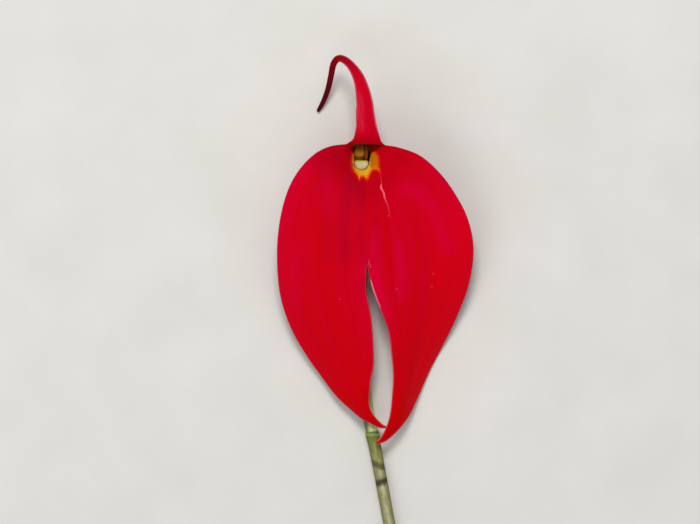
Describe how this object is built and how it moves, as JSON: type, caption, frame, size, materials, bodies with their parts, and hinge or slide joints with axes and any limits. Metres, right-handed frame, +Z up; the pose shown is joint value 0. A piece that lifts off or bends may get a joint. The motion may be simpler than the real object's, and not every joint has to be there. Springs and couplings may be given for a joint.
{
  "type": "masdevallia orchid flower",
  "caption": "Cut red orchid flower on its stem, lying on its back: joined sepals with tails, a throat with column, lip and petals, ovary, bract and stem.",
  "frame": {"origin": "on the surface that the flower lies on, under the middle of the whole flower's box", "axes": "+Z up, out of the flower's face; +Y from the cut end of the stem towards the upper sepal; +X to the right as seen from above"},
  "size_m": [0.0494, 0.1626, 0.0174],
  "materials": {
    "sepal": "satin",
    "petal": "satin",
    "lip": "satin",
    "column": "satin",
    "ovary": "satin",
    "bract": "matte",
    "stem": "satin"
  },
  "bodies": {
    "root": {"sepals": "sepal", "petal_left": "petal", "petal_right": "petal", "lip": "lip", "column": "column", "ovary": "ovary", "floral_bract": "bract", "stem": "stem"}
  },
  "joints": []
}
